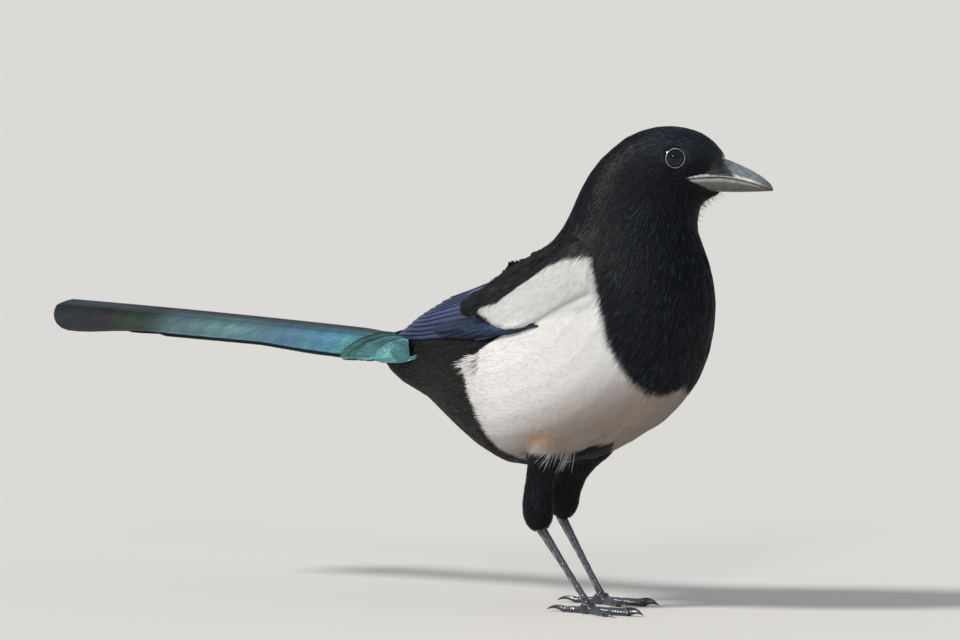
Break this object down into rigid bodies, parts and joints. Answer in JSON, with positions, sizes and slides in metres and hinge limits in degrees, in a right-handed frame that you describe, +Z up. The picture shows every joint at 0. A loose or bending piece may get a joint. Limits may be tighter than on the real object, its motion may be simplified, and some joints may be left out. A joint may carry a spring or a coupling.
{
  "type": "model bird",
  "caption": "Life-size still model of a long-tailed pied bird standing on both feet with its head turned to one side.",
  "frame": {"origin": "on the floor under the middle of the bird's box, between bill tip and tail tip", "axes": "+X the way the body faces, +Y to the bird's left, +Z up"},
  "size_m": [0.3913, 0.0896, 0.2364],
  "materials": {
    "black_plumage": "satin black body feathers over flesh",
    "white_plumage": "matt white body feathers over flesh",
    "blue_feathers": "glossy blue-black wing feathers",
    "green_feathers": "glossy green and bronze tail feathers",
    "horn": "smooth black horn",
    "leg_skin": "scaly black skin",
    "eye": "wet dark eye"
  },
  "bodies": {
    "root": {"head": "black_plumage", "neck": "black_plumage", "torso": "white_plumage", "thigh_right": "black_plumage", "thigh_left": "black_plumage", "wing_right": "blue_feathers", "wing_left": "blue_feathers", "tail": "green_feathers", "bill_upper": "horn", "bill_lower": "horn", "eye_right": "eye", "eye_left": "eye", "shank_right": "leg_skin", "shank_left": "leg_skin", "foot_right": "leg_skin", "foot_left": "leg_skin", "claw_right_middle": "horn", "claw_right_inner": "horn", "claw_right_outer": "horn", "claw_right_hind": "horn", "claw_left_middle": "horn", "claw_left_inner": "horn", "claw_left_outer": "horn", "claw_left_hind": "horn"}
  },
  "joints": []
}
